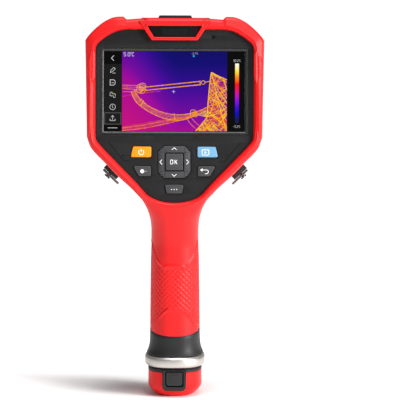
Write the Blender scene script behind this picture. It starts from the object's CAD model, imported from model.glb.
"""Looks of the thermal imaging camera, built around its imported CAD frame.

The screen side is modelled in the head frame: X across, W into the head, V up the screen, in millimetres. The
head frame is the row frame turned by TILT about X. The handle and the lens are modelled level, in the row
frame.
"""

import math

import bmesh
import bpy
import numpy as np
from mathutils import Matrix, Vector


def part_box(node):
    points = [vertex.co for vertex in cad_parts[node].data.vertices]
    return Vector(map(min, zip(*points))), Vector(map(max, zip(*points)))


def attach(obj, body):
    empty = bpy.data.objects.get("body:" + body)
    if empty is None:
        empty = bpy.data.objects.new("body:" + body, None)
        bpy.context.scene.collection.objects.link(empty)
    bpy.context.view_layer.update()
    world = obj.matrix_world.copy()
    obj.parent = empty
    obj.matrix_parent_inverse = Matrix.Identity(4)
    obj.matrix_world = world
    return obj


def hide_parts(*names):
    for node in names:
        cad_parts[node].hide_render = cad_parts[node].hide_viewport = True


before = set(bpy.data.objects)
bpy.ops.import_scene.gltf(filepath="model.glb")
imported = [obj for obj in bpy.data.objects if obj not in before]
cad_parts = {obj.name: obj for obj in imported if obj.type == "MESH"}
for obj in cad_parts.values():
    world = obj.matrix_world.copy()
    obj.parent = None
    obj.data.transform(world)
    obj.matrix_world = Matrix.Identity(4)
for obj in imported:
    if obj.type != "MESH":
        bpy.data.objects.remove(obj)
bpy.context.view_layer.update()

MM = 0.001
TILT = math.radians(9)
HEAD = Matrix.Rotation(-TILT, 4, "X")


# ---------- places taken from the frame, in millimetres ----------
def level_box(node):
    low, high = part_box(node)
    return low / MM, high / MM


def head_box(node):
    """A node's lowest and highest corners in the head frame."""
    turn = HEAD.inverted()
    points = [turn @ (v.co / MM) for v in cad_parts[node].data.vertices]
    low = Vector([min(p[i] for p in points) for i in range(3)])
    high = Vector([max(p[i] for p in points) for i in range(3)])
    return low, high


RIM_FACE = head_box("rear_housing")[0].y
PANEL_FACE, PANEL_BACK = (corner.y for corner in head_box("rear_bezel"))
GRIP_FOOT = level_box("rear_housing")[0].z
SPLIT_Y = level_box("rear_housing")[1].y
# rows of (height, half width, half depth) up the handle
GRIP_STATIONS = [(43, 16.8, 21.4), (70, 16.6, 21.0), (91, 16.3, 20.6), (104, 15.9, 20.4),
                 (116, 15.9, 20.6), (126, 17.4, 21.2), (138, 20.5, 22.0)]
OVAL_POWER = 2.5             # squareness of the handle's section; 2 is an ellipse


# ---------- small geometry tools ----------
STRAIGHT = math.pi / 2 - 0.02  # half angle over which a corner counts as straight
SHARPEST = 0.3                 # limits how far a sharp corner moves when an outline is inset


def smoothstep(low, high, x):
    t = min(max((x - low) / (high - low), 0.0), 1.0)
    return t * t * (3 - 2 * t)


def mix(a, b, t):
    return a + (b - a) * t


def interpolate(stations, x):
    """Values at x from rows of (x, value, value...), with x rising."""
    xs = [row[0] for row in stations]
    return [float(np.interp(x, xs, [row[i] for row in stations])) for i in range(1, len(stations[0]))]


def rounded(points, radii, steps=6):
    """An outline with its corners rounded. radii is one number, or one for each corner."""
    count = len(points)
    radii = radii if hasattr(radii, "__len__") else [radii] * count
    out = []
    for i, here in enumerate(points):
        here = Vector(here)
        before = Vector(points[i - 1])
        after = Vector(points[(i + 1) % count])
        u = (before - here).normalized()
        v = (after - here).normalized()
        half = math.acos(max(-1.0, min(1.0, u.dot(v)))) / 2
        if half > STRAIGHT:
            out.append(here)
            continue
        longest = 0.48 * min((before - here).length, (after - here).length)
        reach = min(radii[i] / math.tan(half), longest)
        start = here + u * reach
        end = here + v * reach
        for k in range(steps + 1):
            t = k / steps
            out.append((1 - t) ** 2 * start + 2 * t * (1 - t) * here + t * t * end)
    return out


def mirrored(points):
    """Adds the left half to an outline's right half, which is listed from top to bottom."""
    left = [(-x, y) for x, y in reversed(points) if x > 1e-6]
    return list(points) + left


def inset(points, distance):
    """Moves a clockwise outline's edges inwards."""
    count = len(points)
    pts = [Vector(p) for p in points]
    out = []
    for i in range(count):
        before = (pts[i] - pts[i - 1]).normalized()
        after = (pts[(i + 1) % count] - pts[i]).normalized()
        n1 = Vector((before.y, -before.x))
        n2 = Vector((after.y, -after.x))
        out.append(pts[i] + (n1 + n2) * (distance / max(SHARPEST, 1 + n1.dot(n2))))
    return out


def rectangle(half_width, half_height, x=0.0, y=0.0):
    return [(x - half_width, y + half_height), (x + half_width, y + half_height),
            (x + half_width, y - half_height), (x - half_width, y - half_height)]


def turns(count):
    """Angles at even steps round a whole turn."""
    return [2 * math.pi * i / count for i in range(count)]


def circle(radius, x=0.0, y=0.0, count=32):
    return [(x + radius * math.sin(angle), y + radius * math.cos(angle)) for angle in turns(count)]


def oval_point(a, b, angle):
    """A point of the handle's section. Angle 0 is +X, and 90 degrees is +Y."""
    power = 2 / OVAL_POWER
    c, s = math.cos(angle), math.sin(angle)
    return math.copysign(a * abs(c) ** power, c), math.copysign(b * abs(s) ** power, s)


# ---------- making objects ----------
def new_object(name, data):
    piece = bpy.data.objects.new(name, data)
    bpy.context.scene.collection.objects.link(piece)
    return piece


def from_pydata(name, vertices, faces, smooth=True):
    mesh = bpy.data.meshes.new(name)
    mesh.from_pydata([tuple(v) for v in vertices], [], faces)
    mesh.update()
    for polygon in mesh.polygons:
        polygon.use_smooth = smooth
    return new_object(name, mesh)


def clean_mesh(mesh, distance=1e-5):
    """Joins points that meet, and turns every face outwards."""
    work = bmesh.new()
    work.from_mesh(mesh)
    bmesh.ops.remove_doubles(work, verts=work.verts, dist=distance)
    bmesh.ops.recalc_face_normals(work, faces=work.faces)
    work.to_mesh(mesh)
    work.free()


def apply_modifiers(piece):
    graph = bpy.context.evaluated_depsgraph_get()
    mesh = bpy.data.meshes.new_from_object(piece.evaluated_get(graph))
    piece.modifiers.clear()
    old = piece.data
    piece.data = mesh
    if old.users == 0:
        bpy.data.meshes.remove(old)


def shade(piece, degrees=35):
    """Smooth shading with sharp edges over an angle."""
    for polygon in piece.data.polygons:
        polygon.use_smooth = True
    piece.data.set_sharp_from_angle(angle=math.radians(degrees))


LEVEL = Matrix.Identity(4)


def finish_piece(piece, turn, body, look, replaces=()):
    """Takes a piece from millimetres, in the frame that turn stands for, to the row frame, and dresses it."""
    piece.data.transform(Matrix.Scale(MM, 4) @ turn)
    piece.data.update()
    piece.data.materials.clear()
    piece.data.materials.append(look)
    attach(piece, body)
    if replaces:
        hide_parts(*replaces)


def plate(name, loops, near, far, bevel=0.3, steps=3):
    """A flat piece between two depths with rounded edges. The first loop is its outline, the rest are holes."""
    curve = bpy.data.curves.new(name, "CURVE")
    curve.dimensions = "2D"
    curve.fill_mode = "BOTH"
    bevel = min(bevel, (far - near) * 0.49)
    curve.bevel_depth = bevel
    curve.bevel_resolution = steps
    curve.extrude = (far - near) / 2 - bevel
    curve.offset = -bevel
    for loop in loops:
        spline = curve.splines.new("POLY")
        spline.points.add(len(loop) - 1)
        for point, spot in zip(spline.points, loop):
            point.co = (spot[0], spot[1], 0, 1)
        spline.use_cyclic_u = True
    holder = new_object(name, curve)
    bpy.context.view_layer.update()
    graph = bpy.context.evaluated_depsgraph_get()
    mesh = bpy.data.meshes.new_from_object(holder.evaluated_get(graph))
    bpy.data.objects.remove(holder)
    bpy.data.curves.remove(curve)
    mesh.transform(Matrix.Translation((0, (near + far) / 2, 0)) @ Matrix.Rotation(math.pi / 2, 4, "X"))
    clean_mesh(mesh, 1e-4)
    piece = new_object(name, mesh)
    shade(piece, 40)
    return piece


def loft_loops(name, loops, closed=False, sharp=35):
    """Skins loops with the same number of points. The ends are filled, or joined to each other if closed."""
    count = len(loops[0])
    vertices = [point for loop in loops for point in loop]
    faces = []
    for a in range(len(loops) if closed else len(loops) - 1):
        b = (a + 1) % len(loops)
        for i in range(count):
            j = (i + 1) % count
            faces.append((a * count + i, a * count + j, b * count + j, b * count + i))
    if not closed:
        faces.append(tuple(reversed(range(count))))
        faces.append(tuple(range((len(loops) - 1) * count, len(loops) * count)))
    piece = from_pydata(name, vertices, faces)
    clean_mesh(piece.data)
    shade(piece, sharp)
    return piece


def join_pieces(name, pieces):
    """One object from several."""
    bpy.ops.object.select_all(action="DESELECT")
    for piece in pieces:
        piece.select_set(True)
    bpy.context.view_layer.objects.active = pieces[0]
    bpy.ops.object.join()
    pieces[0].name = name
    pieces[0].data.name = name
    return pieces[0]


# ---------- materials ----------
def rgb(code):
    """A colour from its six-figure sRGB code, as linear light."""
    parts = [int(code[i:i + 2], 16) / 255 for i in (0, 2, 4)]
    return tuple(p / 12.92 if p <= 0.04045 else ((p + 0.055) / 1.055) ** 2.4 for p in parts)


def grey(value):
    return (value, value, value)


def new_material(name):
    look = bpy.data.materials.new(name)
    look.use_nodes = True
    tree = look.node_tree
    return look, tree, tree.nodes["Principled BSDF"]


def scaled(colour, factor):
    return tuple(c * factor for c in colour)


def noise_node(tree, scale, detail, stretch=None):
    place = tree.nodes.new("ShaderNodeTexCoord").outputs["Object"]
    if stretch:
        mapping = tree.nodes.new("ShaderNodeMapping")
        mapping.inputs["Scale"].default_value = stretch
        tree.links.new(place, mapping.inputs["Vector"])
        place = mapping.outputs["Vector"]
    grain = tree.nodes.new("ShaderNodeTexNoise")
    grain.inputs["Scale"].default_value = scale
    grain.inputs["Detail"].default_value = detail
    tree.links.new(place, grain.inputs["Vector"])
    return grain.outputs["Fac"]


def ramp_node(tree, source, stops):
    ramp = tree.nodes.new("ShaderNodeValToRGB")
    elements = ramp.color_ramp.elements
    while len(elements) < len(stops):
        elements.new(0.5)
    for element, (position, colour) in zip(elements, stops):
        element.position = position
        element.color = (*colour, 1)
    tree.links.new(source, ramp.inputs["Fac"])
    return ramp.outputs["Color"]


def between_two(tree, source, low, high, socket):
    """Drives a shader's socket from one colour to another over the middle of a noise's range."""
    tree.links.new(ramp_node(tree, source, [(0.3, low), (0.7, high)]), socket)


def add_bump(tree, shader, height, strength, distance):
    bump = tree.nodes.new("ShaderNodeBump")
    bump.inputs["Strength"].default_value = strength
    bump.inputs["Distance"].default_value = distance
    tree.links.new(height, bump.inputs["Height"])
    tree.links.new(bump.outputs["Normal"], shader.inputs["Normal"])


def moulded(name, colour, spread, gloss, grain, bump, specular=0.3):
    """Moulded plastic or rubber: a fine grain, a slow drift of colour and an uneven gloss."""
    look, tree, shader = new_material(name)
    drift = noise_node(tree, 26, 3)
    fine = noise_node(tree, grain, 2)
    low, high = scaled(colour, 1 - spread), scaled(colour, 1 + spread)
    between_two(tree, drift, low, high, shader.inputs["Base Color"])
    between_two(tree, fine, grey(gloss[0]), grey(gloss[1]), shader.inputs["Roughness"])
    add_bump(tree, shader, fine, bump, 0.00005)
    shader.inputs["Specular IOR Level"].default_value = specular
    return look


def metal(name, colour, gloss, stretch):
    """Metal with fine lines along the direction that isn't stretched."""
    look, tree, shader = new_material(name)
    lines = noise_node(tree, 300, 3, stretch)
    between_two(tree, lines, scaled(colour, 0.9), scaled(colour, 1.05), shader.inputs["Base Color"])
    between_two(tree, lines, grey(gloss[0]), grey(gloss[1]), shader.inputs["Roughness"])
    add_bump(tree, shader, lines, 0.08, 0.00002)
    shader.inputs["Metallic"].default_value = 1.0
    return look


def glassy(name, colour, gloss=(0.05, 0.12), specular=0.6, metallic=0.0):
    """Dark polished glass with a faint smear in its shine."""
    look, tree, shader = new_material(name)
    smear = noise_node(tree, 60, 3)
    between_two(tree, smear, colour, scaled(colour, 1.4), shader.inputs["Base Color"])
    between_two(tree, smear, grey(gloss[0]), grey(gloss[1]), shader.inputs["Roughness"])
    shader.inputs["Specular IOR Level"].default_value = specular
    shader.inputs["Metallic"].default_value = metallic
    return look


def glow(tree, shader, colour, roughness=0.35):
    """Makes a surface give off a colour, and reflect next to nothing."""
    shader.inputs["Base Color"].default_value = (0, 0, 0, 1)
    shader.inputs["Roughness"].default_value = roughness
    shader.inputs["Specular IOR Level"].default_value = 0.08
    tree.links.new(colour, shader.inputs["Emission Color"])
    shader.inputs["Emission Strength"].default_value = 1.0


def lit(name, first, second, scale=900, detail=2):
    """A lit part of the screen, its colour drifting between two."""
    look, tree, shader = new_material(name)
    spots = noise_node(tree, scale, detail)
    glow(tree, shader, ramp_node(tree, spots, [(0.35, rgb(first)), (0.65, rgb(second))]))
    return look


RED = moulded("red_overmould", (0.74, 0.0045, 0.005), 0.03, (0.42, 0.54), 2400, 0.2, 0.34)
RED_PLASTIC = moulded("red_plastic", (0.80, 0.0045, 0.005), 0.03, (0.36, 0.48), 2400, 0.12, 0.28)
BLACK = moulded("black_plastic", (0.0125, 0.0127, 0.0130), 0.1, (0.44, 0.58), 2200, 0.3, 0.35)
PANEL = moulded("panel_plastic", (0.0112, 0.0113, 0.0116), 0.1, (0.44, 0.58), 2600, 0.25, 0.21)
SURROUND_LOOK = moulded("surround_plastic", (0.020, 0.0205, 0.021), 0.1, (0.34, 0.44), 2600, 0.05, 0.45)
GRILLE = moulded("grille", (0.0028, 0.0028, 0.0029), 0.1, (0.5, 0.62), 2600, 0.15, 0.12)
GRILLE_DOTS = moulded("grille_dots", (0.010, 0.010, 0.010), 0.1, (0.4, 0.5), 2600, 0.15, 0.3)
KEY_GREY = moulded("key_grey", (0.047, 0.047, 0.050), 0.06, (0.40, 0.52), 2600, 0.2, 0.3)
LATCH_LOOK = moulded("latch_plastic", (0.012, 0.012, 0.013), 0.06, (0.34, 0.46), 2600, 0.2, 0.5)
KEY_ORANGE = moulded("key_orange", (0.85, 0.27, 0.006), 0.03, (0.36, 0.48), 2600, 0.15, 0.25)
KEY_BLUE = moulded("key_blue", (0.15, 0.34, 0.52), 0.03, (0.36, 0.48), 2600, 0.15, 0.25)
PRINT = moulded("white_print", (0.78, 0.78, 0.78), 0.03, (0.45, 0.6), 3000, 0.1, 0.2)
PRINT_DIM = moulded("grey_print", (0.22, 0.22, 0.23), 0.03, (0.45, 0.6), 3000, 0.1, 0.2)
SATIN = metal("satin_metal", (0.60, 0.575, 0.54), (0.40, 0.52), (1, 1, 26))
STEEL = metal("steel", (0.50, 0.49, 0.48), (0.25, 0.4), (30, 1, 1))
BRACKET = metal("bracket_steel", (0.20, 0.18, 0.17), (0.26, 0.4), (1, 26, 1))
LENS_METAL = metal("lens_metal", (0.045, 0.046, 0.048), (0.32, 0.46), (1, 30, 1))
GERMANIUM = glassy("germanium", (0.09, 0.11, 0.16), (0.04, 0.09), 1.0, 0.75)
WINDOW = glassy("window_glass", (0.006, 0.006, 0.008))
GLASS = glassy("display_glass", (0.0015, 0.0015, 0.0018), (0.16, 0.24), 0.25)
BOARD = moulded("circuit_board", rgb("1F5A3A"), 0.2, (0.4, 0.6), 900, 0.2)
MODULE = metal("module_metal", (0.42, 0.42, 0.43), (0.3, 0.45), (20, 1, 1))
WRAP = moulded("cell_wrap", rgb("2E6FA8"), 0.05, (0.25, 0.4), 1500, 0.05)
CONTACT = metal("contacts", rgb("C9A15A"), (0.2, 0.3), (1, 20, 1))
LAMP = glassy("lamp", rgb("F1EFE2"), (0.1, 0.2), 0.5)


# ---------- the head's outlines, right half, as pairs of an inner and an outer point ----------
# Each run is one smooth stretch; the outline has a corner where runs meet.
RIM_RUNS = [
    # top middle, over the grille
    [((0, 247.8), (0, 252.9)), ((9, 247.8), (9, 252.88)), ((18.8, 247.8), (18.6, 252.8))],
    # grille's side, inside the tongue
    [((18.8, 247.8), (18.6, 252.8)), ((16.9, 245.1), (21.4, 252.7))],
    # top, out to the bumper
    [((16.9, 245.1), (21.4, 252.7)), ((25.0, 245.1), (26.6, 252.4)), ((30.9, 245.1), (32.5, 251.9))],
    # step up onto the corner bumper
    [((30.9, 245.1), (32.5, 251.9)), ((33.2, 245.0), (34.7, 253.9))],
    # corner bumper
    [((33.2, 245.0), (34.7, 253.9)), ((39.7, 243.7), (41.0, 253.4)), ((46.6, 239.9), (47.6, 250.4)),
     ((51.3, 236.2), (53.9, 245.4)), ((52.9, 233.8), (58.3, 240.8)), ((53.4, 231.4), (60.3, 237.8))],
    # side
    [((53.4, 231.4), (60.3, 237.8)), ((53.4, 202.0), (59.6, 204.6)), ((53.3, 173.4), (59.0, 172.6))],
    # hip, slope and neck
    [((53.3, 173.4), (59.0, 172.6)), ((52.4, 170.0), (56.4, 165.6)), ((48.6, 165.4), (51.9, 160.2)),
     ((44.0, 160.6), (47.7, 156.1)), ((34.9, 151.3), (38.6, 146.8)), ((25.9, 142.1), (29.2, 138.2)),
     ((22.2, 138.0), (25.3, 134.2)), ((18.9, 134.3), (21.2, 129.6)), ((16.0, 132.2), (18.1, 123.4)),
     ((13.6, 130.9), (16.4, 117.0)), ((11.2, 129.9), (15.85, 110.6))],
]
# For each run, its stretches as (share of the run where the stretch ends, columns in it).
RUN_STRETCHES = [[(1, 12)], [(1, 6)], [(0.86, 8), (1, 6)], [(1, 18)], [(0.08, 8), (1, 40)],
                 [(0.12, 24), (0.34, 10), (0.46, 24), (0.82, 12), (1, 24)], [(0.06, 14), (1, 70)]]
NECK_V = 110.6               # head-frame height where the rim's surface hands over to the grip's
PANEL_FOOT_V = 128.3
SLOPE_FOOT_V = 142           # below this the rim's outer edge is the silhouette at each height
HEAD_ONLY_V = 150            # above this the surface has none of the neck in it
TOP_V = 200                  # above this, and away from the sides, lies the rim's top
SIDE_X = 50                  # beyond this from the middle lies the rim's side


def curve_through(points, stretches):
    """Points on a Catmull-Rom curve through some points, spaced evenly within each stretch."""
    pts = [np.array(p, float) for p in points]
    pts = [2 * pts[0] - pts[1]] + pts + [2 * pts[-1] - pts[-2]]
    spans = len(pts) - 3
    lengths = [np.linalg.norm(pts[i + 2] - pts[i + 1]) for i in range(spans)]
    marks = np.concatenate([[0], np.cumsum(lengths)])
    shares = [0.0]
    for end, steps in stretches:
        shares += list(np.linspace(shares[-1], end, steps + 1))[1:]
    out = []
    for share in shares:
        s = marks[-1] * share
        i = min(int(np.searchsorted(marks, s, side="right")) - 1, spans - 1)
        t = (s - marks[i]) / lengths[i]
        a, b, c, d = pts[i:i + 4]
        square = 2 * a - 5 * b + 4 * c - d
        cube = 3 * b - a - 3 * c + d
        out.append(0.5 * (2 * b + (c - a) * t + square * t * t + cube * t ** 3))
    return out


def rim_columns():
    """(inner x, inner v, outer x, outer v) along the right half, from the top middle to the neck."""
    columns = []
    for number, (run, stretches) in enumerate(zip(RIM_RUNS, RUN_STRETCHES)):
        flat = [(*inner, *outer) for inner, outer in run]
        points = curve_through(flat, stretches)
        columns += points if number == len(RIM_RUNS) - 1 else points[:-1]
    return [tuple(point) for point in columns]


def grip_size(z):
    return interpolate(GRIP_STATIONS, z)


def to_level(w, v):
    """Head-frame depth and height to level Y and Z."""
    return w * math.cos(TILT) + v * math.sin(TILT), -w * math.sin(TILT) + v * math.cos(TILT)


def to_head(y, z):
    return y * math.cos(TILT) - z * math.sin(TILT), y * math.sin(TILT) + z * math.cos(TILT)


NECK_LIFT = -9.0              # how much nearer the neck's top lies than the straight grip would
LIFT_FROM = 97.0


def grip_depth(share, v):
    """Depth of the handle's rear surface at a share of its half width."""
    y = -20.0
    for _ in range(4):
        z = (v - y * math.sin(TILT)) / math.cos(TILT)
        b = grip_size(min(max(z, GRIP_STATIONS[0][0]), 118))[1]
        y = -b * max(0.0, 1 - min(1.0, abs(share)) ** OVAL_POWER) ** (1 / OVAL_POWER)
    return to_head(y, z)[0] + NECK_LIFT * smoothstep(LIFT_FROM, PANEL_FOOT_V + 3, v)


RIM_ROUND = 2.2              # radius of the rim's outer edge
LIP_BOTTOM = PANEL_FACE + 0.25
BAND_FACE = -49.35           # the band round the opening
# Sections across the rim: (distance from the opening's edge, depth past the band's face). Each starts with the
# steep wall round the panel, and ends with the face that slopes back to the outer edge.
BUMPER_SECTION = [(0, 2.35), (0.85, 0), (2.45, -0.15), (2.95, -0.9), (9, 1.9)]
TOP_SECTION = [(0, 2.35), (0.85, 0), (2.75, -0.05), (3.15, -0.2), (9, 2.1)]
SIDE_SECTION = [(0, 2.35), (1.55, 0), (3.5, -0.75), (3.9, -0.8), (9, 1.9)]
PAD_SECTION = [(0, 1.3), (0.35, -0.25), (2.05, -0.8), (2.95, -0.4), (4.7, -0.75), (9, 1.6)]
SLOPE_SECTION = [(0, 2.35), (0.9, 0), (2.1, -0.3), (2.6, -0.75), (9, 2.0)]
# The bumper's inner end: (height, foot of its end wall, top of its end wall).
BUMPER_END = [(245, 32.0, 34.0), (246.6, 32.6, 34.2), (248.7, 34.0, 34.7), (251.1, 32.9, 34.5),
              (254, 32.2, 34.8)]
PAD_TOP_V = 231.3            # heights of the arrow-shaped ends of the rim's parts down each side
PAD_FOOT_V = 208.8
HIP_V = 180.0


def arrow(v, tip, spread, u, middle, blend):
    """Rises from 0 below a line shaped like an arrow head, with its tip at a height, to 1 above it."""
    edge = tip - spread * abs(u - middle)
    return smoothstep(edge - blend, edge + blend, v)


def rim_depth(u, d, x, v):
    """Depth of the rim's face, u from the opening's edge and d from the outer edge."""
    def section(rows):
        return interpolate(rows, u)[0]
    x = abs(x)
    if x > SIDE_X:
        above_pad = arrow(v, PAD_TOP_V, 1.5, u, 1.9, 0.7)
        above_side = arrow(v, PAD_FOOT_V, -1.9, u, 2.0, 0.7)
        above_slope = arrow(v, HIP_V, 2.6, u, 1.8, 0.9)
        depth = mix(section(SLOPE_SECTION), section(SIDE_SECTION), above_slope)
        depth = mix(depth, section(PAD_SECTION), above_side)
        depth = mix(depth, section(BUMPER_SECTION), above_pad)
    elif v > TOP_V:
        foot, top = interpolate(BUMPER_END, v)
        share = min(max((x - foot) / (top - foot), 0.0), 1.0)
        depth = mix(section(TOP_SECTION), section(BUMPER_SECTION), share)
    else:
        depth = section(SLOPE_SECTION)
    if d < RIM_ROUND:
        depth += RIM_ROUND - math.sqrt(max(0.0, RIM_ROUND ** 2 - (RIM_ROUND - d) ** 2))
    return BAND_FACE + depth


NECK_LIP = 0.5               # height of the lip under the panel's foot
NECK_HOLLOW = 0.7            # depth of the hollow below the lip


def shell_depth(x, v, u, d, half):
    """Depth of the rim's face, which runs over into the handle's surface at the neck."""
    head_part = rim_depth(u, d, x, v)
    if v > HEAD_ONLY_V:
        return head_part
    share = abs(x) / max(half, 1e-6)
    blend = smoothstep(NECK_V + 4, PANEL_FOOT_V + 4, v)
    lip = NECK_LIP * smoothstep(0.8, 1.7, u) * (1 - smoothstep(2.2, 3.4, u))
    hollow = NECK_HOLLOW * smoothstep(2.6, 4.2, u) * (1 - smoothstep(5.5, 11.0, u))
    on_neck = 1 - smoothstep(132, SLOPE_FOOT_V, v)
    return mix(grip_depth(share, v), head_part, blend) + (hollow - lip) * on_neck


# the knurl's upper and lower edges, as rows of (distance from the middle, height)
KNURL_TOP = [(0, 83.6), (5.8, 83.4), (7.2, 82.6), (11.5, 87.6), (13.8, 93.8), (15.2, 99.5), (17, 106)]
KNURL_FOOT = [(0, 57.2), (4.6, 57.0), (6.2, 56.0), (10.7, 51.3), (15.4, 43.6), (17, 38)]
KNURL_PITCH = 3.53
KNURL_LIP = 0.5              # height of the lips along the knurl's edges
KNURL_DROP = 0.35            # from the smooth pads to the knurl's ridges
KNURL_PIT = 0.50             # from the ridges to the middle of each pit


def wedge(t):
    """A repeating ridge, 0 at whole numbers and 1 between them."""
    return 1 - abs(2 * (t % 1) - 1)


def knurl(q, v, x):
    """Height of the grip's surface: smooth pads above and below, and crossed ridges between them."""
    top = interpolate(KNURL_TOP, abs(x))[0]
    foot = interpolate(KNURL_FOOT, abs(x))[0]
    inside = smoothstep(foot - 0.4, foot + 0.5, v) * (1 - smoothstep(top - 0.3, top + 1.4, v))
    side = smoothstep(0.72, 0.98, abs(q) / (GRIP_STEP * GRIP_COLUMNS / 2))
    lips = math.exp(-((v - top - 1.9) / 0.9) ** 2) + math.exp(-((v - foot + 1.0) / 0.8) ** 2)
    a = (q + NECK_V - v) / KNURL_PITCH
    b = (q - NECK_V + v) / KNURL_PITCH
    pattern = -KNURL_DROP * (1 - side) - KNURL_PIT * mix(1, 0.7, side) * min(wedge(a), wedge(b))
    return mix(KNURL_LIP * lips * (1 - side), pattern, inside)


# rows of the mesh across the rim's face: distances from the opening's edge, then how many more follow
ROWS_NEAR = [0, 0.2, 0.35, 0.6, 0.85, 1.1, 1.35, 1.55, 1.8, 2.05, 2.3, 2.45, 2.7, 2.95, 3.15, 3.5, 3.9]
ROWS_FAR = 12
WALL_ROWS = 9
SKIN = 1.6                   # the housing's wall thickness
ENDLESS = 1e3                # a distance that stands for no edge nearby
GRIP_STEP = KNURL_PITCH / 6  # the grip's mesh is laid on the knurl's own lattice
LEVEL_ROWS = 108             # rows of the grip at one height, before they bend down to the foot
BENT_ROWS = 8


def section_lengths():
    """Angles round the rear half of the grip's section, and the length of the section up to each."""
    angles = [math.pi * k / 2000 for k in range(2001)]
    points = [Vector(oval_point(16.5, 20.9, angle)) for angle in angles]
    lengths = [0.0]
    for a, b in zip(points, points[1:]):
        lengths.append(lengths[-1] + (b - a).length)
    return angles, lengths


SECTION_ANGLES, SECTION_LENGTHS = section_lengths()
GRIP_COLUMNS = 2 * round(SECTION_LENGTHS[-1] / GRIP_STEP / 2)


def grip_angle(column):
    """The angle of one of the grip's columns, which are spaced evenly along its section."""
    return float(np.interp(SECTION_LENGTHS[-1] * column / GRIP_COLUMNS, SECTION_LENGTHS, SECTION_ANGLES))


SILHOUETTE = sorted((ov, ox) for _, _, ox, ov in rim_columns())


def half_width_at(v):
    """The silhouette's half width at a height of the head frame."""
    return interpolate(SILHOUETTE, v)[0]


def section_share(angle):
    """Where an angle of the grip's section lies across the grip, from -1 to 1."""
    return math.copysign(abs(math.cos(angle)) ** (2 / OVAL_POWER), math.cos(angle))


class Shell:
    """The red housing's outer surface, collected as points and faces in the head frame."""

    def __init__(self):
        self.vertices = []
        self.faces = []

    def add(self, x, w, v):
        self.vertices.append(Vector((x, w, v)))
        return len(self.vertices) - 1

    def edge(self, indexes):
        return [(index, self.vertices[index]) for index in indexes]


def shell_columns():
    """The face's columns as in rim_columns, all the way round, and the numbers of the neck's outermost two."""
    right = rim_columns()
    left = [(-ix, iv, -ox, ov) for ix, iv, ox, ov in reversed(right[1:])]
    corner = right[-1]
    bottom = []
    for j in range(1, GRIP_COLUMNS):
        spread = 1 - 2 * j / GRIP_COLUMNS
        inner_v = PANEL_FOOT_V + (corner[1] - PANEL_FOOT_V) * spread ** 2
        bottom.append((corner[0] * spread, inner_v, corner[2] * section_share(grip_angle(j)), NECK_V))
    first = len(right) - 1
    return right + bottom + left, first, first + GRIP_COLUMNS


def add_face(shell, columns, first, last):
    """The rim's face and the neck. Returns each column's points, from the opening outwards."""
    grid = []
    for number, (ix, iv, ox, ov) in enumerate(columns):
        length = math.hypot(ox - ix, ov - iv)
        has_edge = number <= first or number >= last
        spots = ROWS_NEAR + [mix(ROWS_NEAR[-1], length, math.sin(math.pi / 2 * k / ROWS_FAR))
                             for k in range(1, ROWS_FAR + 1)]
        column = [shell.add(ix, LIP_BOTTOM, iv)]
        for u in spots:
            x, v = mix(ix, ox, u / length), mix(iv, ov, u / length)
            half = half_width_at(v)
            reach = length - u if has_edge else ENDLESS
            if abs(x) > 1e-6 and v < SLOPE_FOOT_V:
                reach = min(reach, max(0.0, half - abs(x)))
            column.append(shell.add(x, shell_depth(x, v, u, reach, half), v))
        grid.append(column)
    for here, after in zip(grid, grid[1:] + grid[:1]):
        for r in range(len(here) - 1):
            shell.faces.append((here[r], here[r + 1], after[r + 1], after[r]))
    return grid


def add_grip(shell, previous):
    """The grip, hung on the neck's lowest row. Returns its right and left edges, from the top down."""
    right_edge, left_edge = [], []
    last_rises = [0.0] * (GRIP_COLUMNS + 1)
    for row in range(1, LEVEL_ROWS + BENT_ROWS + 1):
        current, rises = [], []
        level_v = NECK_V - GRIP_STEP * min(row, LEVEL_ROWS)
        bend = max(0, row - LEVEL_ROWS) / BENT_ROWS
        for j in range(GRIP_COLUMNS + 1):
            angle = grip_angle(j)
            share = section_share(angle)
            v = mix(level_v, grip_foot_v(angle), bend)
            z_guess = v / math.cos(TILT) + 3.2 * math.sin(angle)
            half = grip_size(z_guess)[0]
            x = half * share
            w = grip_depth(share, v)
            rise = knurl(GRIP_STEP * (j - GRIP_COLUMNS / 2), v, x)
            rises.append(rise)
            slope = share_normal(share)
            current.append(shell.add(x + rise * slope[0], w - rise * slope[1], v))
        for j in range(GRIP_COLUMNS):
            a, b, c, d = previous[j], current[j], current[j + 1], previous[j + 1]
            # each quad is split along the knurl's own ridges and valleys
            if abs(last_rises[j] - rises[j + 1]) < abs(rises[j] - last_rises[j + 1]):
                shell.faces += [(a, b, c), (a, c, d)]
            else:
                shell.faces += [(a, b, d), (b, c, d)]
        previous = current
        last_rises = rises
        right_edge.append((current[0], Vector((half, w, v))))
        left_edge.append((current[-1], Vector((-half, w, v))))
    return right_edge, left_edge


def add_wall(shell, line, side):
    """The wall from one side's silhouette round to the split. line has (point's number, its place) rows."""
    rows = [[index for index, _ in line]]
    for k in range(1, WALL_ROWS + 1):
        rows.append([shell.add(*wall_point(base, k / WALL_ROWS, side)) for _, base in line])
    for a, b in zip(rows, rows[1:]):
        for i in range(len(line) - 1):
            quad = (a[i], b[i], b[i + 1], a[i + 1])
            shell.faces.append(quad if side > 0 else quad[::-1])


def rear_shell():
    """The whole outer surface: rim face, neck and grip, then the walls round to the split."""
    shell = Shell()
    columns, first, last = shell_columns()
    grid = add_face(shell, columns, first, last)
    outer = [column[-1] for column in grid]
    right_edge, left_edge = add_grip(shell, outer[first:last + 1])
    add_wall(shell, shell.edge(outer[:first + 1]) + right_edge, 1)
    add_wall(shell, shell.edge(outer[:1] + outer[:last - 1:-1]) + left_edge, -1)
    return shell


def grip_foot_v(angle):
    """Where the red grip ends: lower behind than at its sides."""
    behind = math.sin(angle)
    y = -21.4 * behind
    z = mix(44.9, GRIP_FOOT - 1.1, behind ** 1.6)
    return to_head(y, z)[1]


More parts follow.
